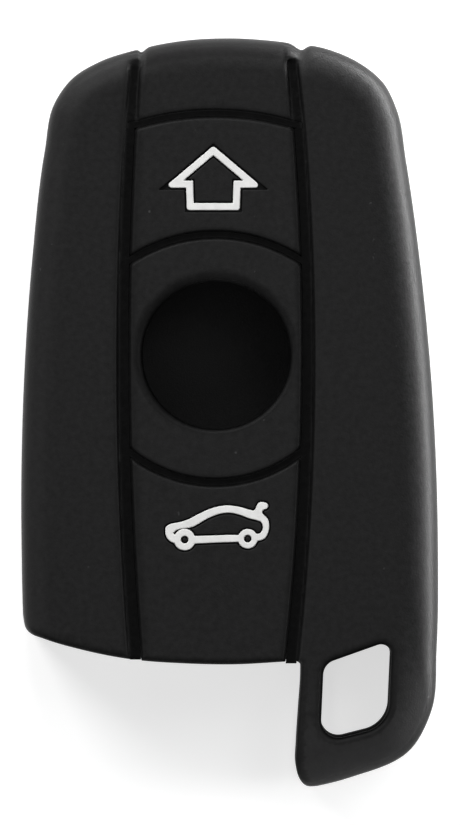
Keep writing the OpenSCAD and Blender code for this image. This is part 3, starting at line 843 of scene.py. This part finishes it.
def settle(points, field, reach, rounds=4):
    """Moves points onto the surface where field is zero, by at most reach in a round"""
    nudge, flattest = reach * 0.05, 0.25
    for _ in range(rounds):
        slope = np.stack([
            (field(*(points + way).T) - field(*(points - way).T)) / (2 * nudge)
            for way in np.eye(3) * nudge
        ], 1)
        steep = np.maximum((slope**2).sum(1), flattest)
        move = slope * (field(*points.T) / steep)[:, None]
        far = np.linalg.norm(move, axis=1, keepdims=True)
        points = points - move * np.minimum(1, reach / np.maximum(far, 1e-12))
    return points


def moulded(name, field, axes, finish, budget):
    """A closed piece round the space where field is below zero, under a budget of triangles"""
    points, quads = net_round(field, axes)
    step = min(np.diff(axis).min() for axis in axes)
    points = settle(points, field, step / 2)
    mesh = bpy.data.meshes.new(name)
    mesh.vertices.add(len(points))
    mesh.vertices.foreach_set("co", points.astype(np.float32).ravel())
    mesh.loops.add(quads.size)
    mesh.loops.foreach_set("vertex_index", quads.astype(np.int32).ravel())
    mesh.polygons.add(len(quads))
    mesh.polygons.foreach_set("loop_start", np.arange(0, quads.size, 4, dtype=np.int32))
    mesh.update(calc_edges=True)
    mesh.validate()
    piece = bpy.data.objects.new(name, mesh)
    bpy.context.scene.collection.objects.link(piece)
    triangles = 2 * len(quads)
    if triangles > budget:
        thinner = piece.modifiers.new("Thin", "DECIMATE")
        thinner.ratio = budget / triangles
        bake(piece)
    piece.data.polygons.foreach_set("use_smooth", np.ones(len(piece.data.polygons), bool))
    piece.data.materials.append(finish)
    return piece


def store_shade(piece, shapes):
    """Stores how much painted shade, or painted light below 0, each point of a piece carries"""
    points = np.empty(3 * len(piece.data.vertices), np.float32)
    piece.data.vertices.foreach_get("co", points)
    shade = PaintedShade(shapes)(*points.reshape(-1, 3).T.astype(float))
    store = piece.data.attributes.new("shade", "FLOAT", "POINT")
    store.data.foreach_set("value", shade.astype(np.float32))


def bake(piece):
    """Turns a piece's modifiers into a plain mesh"""
    graph = bpy.context.evaluated_depsgraph_get()
    plain = bpy.data.meshes.new_from_object(piece.evaluated_get(graph))
    plain.name = piece.name
    piece.modifiers.clear()
    piece.data = plain


def feed(tree, made, inputs):
    """Sets or links the inputs of a node, by name or place"""
    for key, value in inputs.items():
        if isinstance(value, bpy.types.NodeSocket):
            tree.links.new(value, made.inputs[key])
        else:
            made.inputs[key].default_value = value


def node(tree, kind, inputs=None, **settings):
    """Adds a node with its settings, by attribute name, and its inputs"""
    made = tree.nodes.new(kind)
    for key, value in settings.items():
        setattr(made, key, value)
    feed(tree, made, inputs or {})
    return made


def mixed(tree, a, b, share):
    """Two colours mixed, by the share of the second"""
    return node(tree, "ShaderNodeMix", {"A": a, "B": b, "Factor": share},
                data_type="RGBA").outputs["Result"]


def toned(colour, share):
    """A colour made darker or lighter, with its alpha"""
    return (*[share * part for part in colour], 1)


def bumped(tree, height, strength, depth):
    """The normal of a surface with a fine relief"""
    return node(tree, "ShaderNodeBump", {
        "Strength": strength, "Distance": depth, "Height": height,
    }).outputs["Normal"]


def new_material(name):
    """A new material with its tree and its surface shader"""
    made = bpy.data.materials.new(name)
    made.use_nodes = True
    return made, made.node_tree, made.node_tree.nodes["Principled BSDF"]


def silicone_grain():
    """Fine moulded grain, slow mottling and a little dust"""
    tree = bpy.data.node_groups.new("silicone_grain", "ShaderNodeTree")
    for label, default in (("Grain Scale", 5200), ("Mottle Scale", 1700), ("Dust Scale", 900)):
        socket = tree.interface.new_socket(label, in_out="INPUT", socket_type="NodeSocketFloat")
        socket.default_value = default
    for label in ("Height", "Mottle", "Dust"):
        tree.interface.new_socket(label, in_out="OUTPUT", socket_type="NodeSocketFloat")
    scales = node(tree, "NodeGroupInput").outputs
    place = node(tree, "ShaderNodeTexCoord").outputs["Object"]

    def noise(scale, detail, roughness):
        return node(tree, "ShaderNodeTexNoise", {
            "Vector": place, "Scale": scales[scale], "Detail": detail, "Roughness": roughness,
        }).outputs["Fac"]

    def ranged(value, low, high):
        return node(tree, "ShaderNodeMapRange", {
            "Value": value, "From Min": low, "From Max": high,
        }).outputs["Result"]

    node(tree, "NodeGroupOutput", {
        "Height": noise("Grain Scale", 3, 0.6),
        "Mottle": ranged(noise("Mottle Scale", 4, 0.6), 0.3, 0.7),
        "Dust": ranged(noise("Dust Scale", 2, 0.5), 0.75, 0.8),
    })
    return tree


def black_silicone(colour, grain):
    """Fine matte black silicone.

    Where it carries painted shade it darkens and, by a share of black metal, also loses its sheen,
    and where that shade is below 0 it is painted lighter.
    """
    made, tree, shader = new_material("moulded_silicone")
    group = node(tree, "ShaderNodeGroup", node_tree=grain).outputs
    shade = node(tree, "ShaderNodeAttribute", attribute_name="shade").outputs["Fac"]
    mottled = mixed(tree, toned(colour, 0.58), toned(colour, 1.47), group["Mottle"])
    dusty = mixed(tree, mottled, toned(colour, 6), group["Dust"])
    # Painted light: where the stored shade is below 0, the colour is painted up to 5.3 times
    # lighter
    lighter = node(tree, "ShaderNodeMapRange", {"Value": shade, "From Min": 0, "From Max": -1})
    lit = mixed(tree, dusty, toned(colour, 5.3), lighter.outputs["Result"])
    rough = node(tree, "ShaderNodeMapRange", {
        "Value": group["Mottle"], "To Min": 0.47, "To Max": 0.53,
    })
    # Painted shade: the stored shade darkens the colour towards black and, as black metal, takes
    # the sheen away
    feed(tree, shader, {
        "Base Color": mixed(tree, lit, toned(colour, 0.05), shade), "Metallic": shade,
        "Roughness": rough.outputs["Result"], "IOR": 1.5, "Specular IOR Level": 0.1,
        "Normal": bumped(tree, group["Height"], 0.8, 0.03 * MM),
    })
    return made


def white_ink(colour, grain):
    """White silicone ink, filled in by hand"""
    made, tree, shader = new_material("white_ink")
    group = node(tree, "ShaderNodeGroup", node_tree=grain)
    feed(tree, group, {"Mottle Scale": 900})
    mottle = group.outputs["Mottle"]
    feed(tree, shader, {
        "Base Color": mixed(tree, toned(colour, 0.93), toned(colour, 1.05), mottle),
        "Roughness": 0.5, "Normal": bumped(tree, mottle, 0.3, 0.04 * MM),
    })
    return made


def cover_material(name):
    """One of the cover's two materials, made on first use"""
    if name in bpy.data.materials:
        return bpy.data.materials[name]
    grain = bpy.data.node_groups.get("silicone_grain") or silicone_grain()
    finishes = bpy.context.scene.key_cover_finishes
    if name == "moulded_silicone":
        return black_silicone(finishes.silicone, grain)
    return white_ink(finishes.white, grain)


def background_rays(tree):
    """1 for the rays that show the background: camera, glossy and transmission rays"""
    path = node(tree, "ShaderNodeLightPath")
    value = path.outputs["Is Camera Ray"]
    for name in ("Is Glossy Ray", "Is Transmission Ray"):
        value = node(tree, "ShaderNodeMath", {0: value, 1: path.outputs[name]},
                     operation="MAXIMUM").outputs[0]
    return value


def place_piece(piece, body, replaced):
    """Sets what a piece moves with and hides the parts that it stands for"""
    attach(piece, body)
    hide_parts(*replaced)


class KEYCOVER_OT_stage(bpy.types.Operator):
    """Adds the camera, the floor and the lights"""
    bl_idname = "key_cover.stage"
    bl_label = "Stage"
    FLOOR_HALF = 3
    # Just below the back face, so that the two don't fight when seen from below
    FLOOR_HEIGHT = -0.02 * MM
    GLOW = 0.65
    # Softboxes lower than this shine level, and the others at the middle of the cover's height
    LEVEL_BELOW = 0.05
    AIM_HEIGHT = 0.01

    def execute(self, context):
        stage = context.scene.key_cover_stage
        self.add_camera(context, stage)
        self.add_floor(context)
        self.add_lights(context)
        context.scene.view_settings.view_transform = "Standard"
        return {"FINISHED"}

    def add_camera(self, context, stage):
        """A camera straight above that shows the wanted height of picture"""
        data = bpy.data.cameras.new("camera")
        data.lens, data.sensor_width = stage.lens, stage.sensor
        data.clip_start, data.clip_end = 0.01, 10
        camera = bpy.data.objects.new("camera", data)
        context.scene.collection.objects.link(camera)
        away = stage.frame_height * stage.lens / stage.sensor
        camera.location = (stage.frame_x, stage.frame_y, stage.aim_height + away)
        context.scene.camera = camera

    def add_floor(self, context):
        """A plain square that the cover lies on"""
        half, low = self.FLOOR_HALF, self.FLOOR_HEIGHT
        mesh = bpy.data.meshes.new("floor")
        corners = [(-half, -half, low), (half, -half, low), (half, half, low), (-half, half, low)]
        mesh.from_pydata(corners, [], [(0, 1, 2, 3)])
        floor = bpy.data.objects.new("floor", mesh)
        context.scene.collection.objects.link(floor)
        floor.data.materials.append(self.floor_material(context))

    def floor_material(self, context):
        """Matte, and glowing for the rays that show the background"""
        made, tree, shader = new_material("floor")
        feed(tree, shader, {
            "Base Color": (*context.scene.key_cover_finishes.floor, 1), "Roughness": 0.9,
            "Specular IOR Level": 0,
        })
        strength = node(tree, "ShaderNodeMath", {0: background_rays(tree), 1: self.GLOW},
                        operation="MULTIPLY")
        glow = node(tree, "ShaderNodeEmission", {"Strength": strength.outputs[0]})
        both = node(tree, "ShaderNodeAddShader", {0: shader.outputs[0], 1: glow.outputs[0]})
        feed(tree, tree.nodes["Material Output"], {"Surface": both.outputs[0]})
        return made

    def add_lights(self, context):
        """A world that is white for the background only, and the softboxes"""
        world = bpy.data.worlds.new("world")
        context.scene.world = world
        world.use_nodes = True
        tree = world.node_tree
        feed(tree, tree.nodes["Background"], {
            "Color": mixed(tree, (0, 0, 0, 1), (1, 1, 1, 1), background_rays(tree)),
        })
        for lamp in SOFTBOXES:
            self.add_softbox(context, *lamp)

    def add_softbox(self, context, name, place, size, power):
        """A lamp that faces the cover"""
        data = bpy.data.lights.new(name, "AREA")
        data.shape, data.size, data.size_y = "RECTANGLE", *size
        data.energy = power
        lamp = bpy.data.objects.new(name, data)
        context.scene.collection.objects.link(lamp)
        lamp.location = place
        lamp.rotation_mode = "QUATERNION"
        aim = Vector((0, 0, place[2] if place[2] < self.LEVEL_BELOW else self.AIM_HEIGHT))
        lamp.rotation_quaternion = (lamp.location - aim).to_track_quat("Z", "Y")
        lamp.visible_camera = False


class KEYCOVER_OT_body(bpy.types.Operator):
    """Adds the moulded body with its mouth, ring loop and end grooves"""
    bl_idname = "key_cover.body"
    bl_label = "Body"
    TRIANGLES = 190000

    def execute(self, context):
        shapes = Shapes(context.scene)
        cover = shapes.cover
        cell = cover.cell * 1
        edge_x, edge_y = shapes.half_w + 2 * cell, shapes.half_l + 2 * cell
        # Cells are tall along the plain walls and flat at the button side
        axes = (
            grid_levels((-edge_x, (edge_x, cell))),
            grid_levels((-edge_y, (edge_y, cell))),
            grid_levels((
                -2 * cell, (cover.back_round + cell, cell), (shapes.ceiling - 2 * MM, 3 * cell),
                (cover.thickness + 2 * cell, 0.75 * cell),
            )),
        )
        piece = moulded("cover_body", shapes.body, axes, cover_material("moulded_silicone"),
                        self.TRIANGLES)
        store_shade(piece, shapes)
        place_piece(piece, "cover", ["sleeve"])
        return {"FINISHED"}


class KEYCOVER_OT_pads(bpy.types.Operator):
    """Adds the three press pads with the window and the pockets"""
    bl_idname = "key_cover.pads"
    bl_label = "Press pads"
    TRIANGLES = 120000

    def execute(self, context):
        self.shapes = Shapes(context.scene)
        shapes = self.shapes
        line, car = shapes.arrow_line(), shapes.car_line()

        def unlock(x, y, z):
            solid = shapes.pad_solid(shapes.unlock_plan, x, y, z)
            return self.pocketed(solid, line, x, y, z)

        def lock(x, y, z):
            solid = shapes.pad_solid(shapes.lock_plan, x, y, z)
            return round_both(solid, -shapes.window(x, y), shapes.lip_radius(x, y))

        def boot(x, y, z):
            solid = shapes.pad_solid(shapes.boot_plan, x, y, z)
            level = np.maximum(z - shapes.front(x, y), shapes.ceiling - z)
            rim = round_both(level, -shapes.mouth(x, y), shapes.rim_radius(x, y))
            return self.pocketed(np.maximum(solid, rim), car, x, y, z)

        # Each with the stretch of the cover that holds it, in millimetres from the closed end
        for name, field, top, foot in (
            ("unlock", unlock, 7, 26), ("lock", lock, 19, 48), ("boot", boot, 41, 67),
        ):
            self.add_pad(name, field, shapes.from_end(foot * MM), shapes.from_end(top * MM))
        return {"FINISHED"}

    def pocketed(self, solid, line, x, y, z):
        """A pad with the pocket for its white line"""
        pad = self.shapes.pad
        pocket = np.maximum(line(x, y, pad.pocket_gap),
                            self.shapes.front(x, y) - pad.pocket_depth - z)
        return round_both(solid, -pocket, pad.pocket_edge)

    def add_pad(self, name, field, low, high):
        """A pad that lies between two places along the cover"""
        shapes = self.shapes
        cell = shapes.pad.cell * 1
        axes = box_levels(
            (-shapes.groove.strip_left - cell, low, shapes.ceiling - 2 * cell),
            (shapes.groove.strip_right + cell, high, shapes.cover.thickness + 2 * cell), cell,
        )
        piece = moulded(name + "_press_pad", field, axes, cover_material("moulded_silicone"),
                        self.TRIANGLES)
        store_shade(piece, shapes)
        place_piece(piece, name + "_button", [name + "_pad"])


class KEYCOVER_OT_fills(bpy.types.Operator):
    """Adds the white fills of the unlock arrow and of the boot pictogram"""
    bl_idname = "key_cover.fills"
    bl_label = "White fills"
    TRIANGLES = 50000

    def execute(self, context):
        shapes = Shapes(context.scene)
        pad = shapes.pad
        for name, body, line, outline in (
            ("unlock_arrow", "unlock_button", shapes.arrow_line(), shapes.arrow_outline()),
            ("boot_pictogram", "boot_button", shapes.car_line(),
             shapes.car_points(CAR_BODY_SHARES)),
        ):
            middle = (outline.min(0) + outline.max(0)) / 2
            floor = shapes.front(*middle) - pad.pocket_depth

            def fill(x, y, z):
                plan = np.maximum(line(x, y, 0), floor - z)
                return round_both(plan, z - floor - pad.fill, pad.fill_edge)

            cell = pad.fill_cell
            axes = box_levels(
                (*outline.min(0) - pad.line_width, floor - 2 * cell),
                (*outline.max(0) + pad.line_width, floor + pad.fill + 2 * cell), cell,
            )
            piece = moulded(name + "_fill", fill, axes, cover_material("white_ink"),
                            self.TRIANGLES)
            place_piece(piece, body, [name])
        return {"FINISHED"}


def long_run(shapes, line, outside, step):
    """Both edges of the skin in a long groove, which reaches into the body on its outside"""
    groove = shapes.groove
    level = np.arange(shapes.from_end(groove.cap_in), -shapes.half_l, -step)
    start = level[np.argmax(shapes.cap_arch(line(level), level) < 0)]
    stop = level[np.argmax(shapes.mouth(line(level), level) < groove.rim_gap)]
    y = np.linspace(start, stop, round((start - stop) / step))
    reach = shapes.width(y) / 2 - groove.lean
    sides = {outside: reach + groove.skin_seat, -outside: reach - groove.skin_gap}
    return np.stack([line(y) - sides[-1], y, line(y) + sides[1], y, 0 * y], 1)


def cross_run(shapes, at_cap, crest_in, radius, way, step):
    """Both edges of the skin in a curved groove, which reaches into the body under the cap"""
    groove = shapes.groove
    half = groove.cross_width / 2 - groove.cross_lean
    centre = shapes.from_end(crest_in) - way * radius

    def edge(size, turn):
        return groove.strip_middle + size * np.sin(turn), centre + way * size * np.cos(turn)

    def last_turn(size, outside):
        turn = np.linspace(0, outside * math.pi / 3, 4001)
        x, y = edge(size, turn)
        past = shapes.strip(x, y, 1) + groove.lean if at_cap else shapes.strip(x, y, 0)
        return turn[np.argmax(past > 0)]

    outer = radius + half + (groove.skin_seat if at_cap else -groove.skin_gap)
    sizes = (radius - half + groove.skin_gap, outer)
    turns = [(last_turn(size, -1), last_turn(size, 1)) for size in sizes]
    count = round(radius * (turns[0][1] - turns[0][0]) / step)
    edges = [edge(size, np.linspace(*ends, count)) for size, ends in zip(sizes, turns)]
    return np.stack([*edges[0], *edges[1], np.full(count, groove.skin_drop)], 1)


def groove_runs(shapes):
    """Both edges of every stretch of skin: points of left x and y, right x and y, and drop"""
    groove, step = shapes.groove, 0.4 * MM
    return [
        long_run(shapes, shapes.left_x, -1, step),
        long_run(shapes, shapes.right_x, 1, step),
        cross_run(shapes, True, groove.cap_in, groove.cap_radius, 1, step),
        cross_run(shapes, False, groove.lock_in, groove.lock_radius, 1, step),
        cross_run(shapes, False, groove.boot_in, groove.boot_radius, -1, step),
    ]


def skin_tree():
    """Sweeps a thin skin along edges that carry its two sides"""
    tree = bpy.data.node_groups.new("groove_skin", "GeometryNodeTree")
    for label, kind, way in (
        ("Paths", "Geometry", "INPUT"), ("Top", "Float", "INPUT"), ("Skin", "Float", "INPUT"),
        ("Steps Across", "Int", "INPUT"), ("Material", "Material", "INPUT"),
        ("Skin", "Geometry", "OUTPUT"),
    ):
        socket = tree.interface.new_socket(label, in_out=way, socket_type="NodeSocket" + kind)
        if kind == "Float":
            socket.subtype = "DISTANCE"
    given = node(tree, "NodeGroupInput").outputs

    def maths(operation, *values):
        return node(tree, "ShaderNodeMath", dict(enumerate(values)),
                    operation=operation).outputs[0]

    def stored(name, kind="FLOAT"):
        return node(tree, "GeometryNodeInputNamedAttribute", {"Name": name},
                    data_type=kind).outputs["Attribute"]

    # The profile keeps its own X and Y, each from -1 to 1, on the swept skin
    square = node(tree, "GeometryNodeCurvePrimitiveQuadrilateral", {"Width": 2, "Height": 2})
    finer = node(tree, "GeometryNodeSubdivideCurve", {
        "Curve": square.outputs["Curve"], "Cuts": given["Steps Across"],
    })
    profile = node(tree, "GeometryNodeStoreNamedAttribute", {
        "Geometry": finer.outputs["Curve"], "Name": "profile",
        "Value": node(tree, "GeometryNodeInputPosition").outputs["Position"],
    }, data_type="FLOAT_VECTOR", domain="POINT")
    path = node(tree, "GeometryNodeMeshToCurve", {"Mesh": given["Paths"]})
    upright = node(tree, "GeometryNodeSetCurveNormal", {"Curve": path.outputs["Curve"]},
                   mode="Z_UP")
    sweep = node(tree, "GeometryNodeCurveToMesh", {
        "Curve": upright.outputs["Curve"], "Profile Curve": profile.outputs["Geometry"],
        "Fill Caps": True,
    })

    # X says how far across the groove a point lies, and Y whether it is on the skin's top
    corner = node(tree, "ShaderNodeSeparateXYZ", {0: stored("profile", "FLOAT_VECTOR")}).outputs
    side = maths("MULTIPLY", maths("SINE", maths("MULTIPLY", corner["X"], math.pi / 2)), 0.5)
    is_top = maths("GREATER_THAN", corner["Y"], 0.999)
    top = maths("SUBTRACT", given["Top"], stored("drop"))
    bottom = maths("SUBTRACT", given["Top"], given["Skin"])
    height = maths("ADD", maths("MULTIPLY", top, is_top),
                   maths("MULTIPLY", bottom, maths("SUBTRACT", 1, is_top)))
    step = node(tree, "ShaderNodeVectorMath", {
        0: stored("across", "FLOAT_VECTOR"), "Scale": maths("ADD", side, 0.5),
    }, operation="SCALE")
    spot = node(tree, "ShaderNodeVectorMath", {
        0: stored("rail", "FLOAT_VECTOR"), 1: step.outputs[0],
    }, operation="ADD")
    flat = node(tree, "ShaderNodeSeparateXYZ", {0: spot.outputs[0]}).outputs
    lifted = node(tree, "ShaderNodeCombineXYZ", {"X": flat["X"], "Y": flat["Y"], "Z": height})
    moved = node(tree, "GeometryNodeSetPosition", {
        "Geometry": sweep.outputs["Mesh"], "Position": lifted.outputs[0],
    })
    whole = node(tree, "GeometryNodeRealizeInstances", {"Geometry": moved.outputs["Geometry"]})
    finished = node(tree, "GeometryNodeSetMaterial", {
        "Geometry": whole.outputs["Geometry"], "Material": given["Material"],
    })
    node(tree, "NodeGroupOutput", {"Skin": finished.outputs["Geometry"]})
    return tree


class KEYCOVER_OT_skins(bpy.types.Operator):
    """Adds the thin skins under the grooves, swept along the grooves"""
    bl_idname = "key_cover.skins"
    bl_label = "Groove skins"

    def execute(self, context):
        shapes = Shapes(context.scene)
        piece = self.add_paths(context, groove_runs(shapes))
        values = {
            "Top": shapes.floor, "Skin": shapes.groove.skin, "Steps Across": 7,
            "Material": cover_material("moulded_silicone"),
        }
        sweep = piece.modifiers.new("Sweep", "NODES")
        sweep.node_group = skin_tree()
        for socket in sweep.node_group.interface.items_tree:
            if socket.in_out == "INPUT" and socket.name in values:
                sweep[socket.identifier] = values[socket.name]
        bake(piece)
        for name in ("rail", "across", "drop", "profile"):
            piece.data.attributes.remove(piece.data.attributes[name])
        self.face_outwards(piece)
        piece.data.polygons.foreach_set("use_smooth", np.ones(len(piece.data.polygons), bool))
        piece.data.set_sharp_from_angle(angle=math.radians(40))
        store_shade(piece, shapes)
        place_piece(piece, "cover", ("unlock_web", "lock_web", "boot_web"))
        return {"FINISHED"}

    def add_paths(self, context, runs):
        """One edge path for each run, with what the sweep needs stored on its points"""
        points = np.vstack(runs)
        starts = np.cumsum([0] + [len(run) for run in runs[:-1]])
        edges = [
            (first + i, first + i + 1)
            for first, run in zip(starts, runs) for i in range(len(run) - 1)
        ]
        flat = np.zeros((len(points), 1))
        rail = np.hstack([points[:, :2], flat])
        across = np.hstack([points[:, 2:4] - points[:, :2], flat])
        mesh = bpy.data.meshes.new("groove_skins")
        mesh.from_pydata(rail.tolist(), edges, [])
        for name, kind, field, part in (
            ("rail", "FLOAT_VECTOR", "vector", rail), ("across", "FLOAT_VECTOR", "vector", across),
            ("drop", "FLOAT", "value", points[:, 4]),
        ):
            store = mesh.attributes.new(name, kind, "POINT")
            store.data.foreach_set(field, part.astype(np.float32).ravel())
        piece = bpy.data.objects.new("groove_skins", mesh)
        context.scene.collection.objects.link(piece)
        return piece

    def face_outwards(self, piece):
        """Turns the faces outwards"""
        loose = bmesh.new()
        loose.from_mesh(piece.data)
        bmesh.ops.remove_doubles(loose, verts=loose.verts, dist=1e-7)
        bmesh.ops.recalc_face_normals(loose, faces=loose.faces)
        loose.to_mesh(piece.data)
        loose.free()


class KEYCOVER_PT_panel(bpy.types.Panel):
    """Lists the sizes, the finishes and the steps that build the cover"""
    bl_label = "Key fob cover"
    bl_idname = "KEYCOVER_PT_panel"
    bl_space_type = "VIEW_3D"
    bl_region_type = "UI"
    bl_category = "Key cover"

    def draw(self, context):
        layout = self.layout
        for step in STEPS:
            layout.operator(step.bl_idname)
        for label, owner in SETTINGS.items():
            box = layout.box()
            box.label(text=owner.__doc__)
            for name in owner.__annotations__:
                box.prop(getattr(context.scene, label), name)


STEPS = (
    KEYCOVER_OT_stage, KEYCOVER_OT_body, KEYCOVER_OT_pads, KEYCOVER_OT_skins, KEYCOVER_OT_fills,
)
SETTINGS = {
    "key_cover_sizes": CoverSizes,
    "key_cover_grooves": GrooveSizes,
    "key_cover_pads": PadSizes,
    "key_cover_finishes": Finishes,
    "key_cover_stage": StageSizes,
}


def register():
    for owner in (*SETTINGS.values(), *STEPS, KEYCOVER_PT_panel):
        bpy.utils.register_class(owner)
    for label, owner in SETTINGS.items():
        setattr(bpy.types.Scene, label, bpy.props.PointerProperty(type=owner))


def unregister():
    for label in SETTINGS:
        delattr(bpy.types.Scene, label)
    for owner in (KEYCOVER_PT_panel, *reversed(STEPS), *reversed(SETTINGS.values())):
        bpy.utils.unregister_class(owner)


def main():
    """Registers the classes and builds every piece"""
    register()
    for step in STEPS:
        area, name = step.bl_idname.split(".")
        getattr(getattr(bpy.ops, area), name)()


if __name__ == "__main__":
    main()
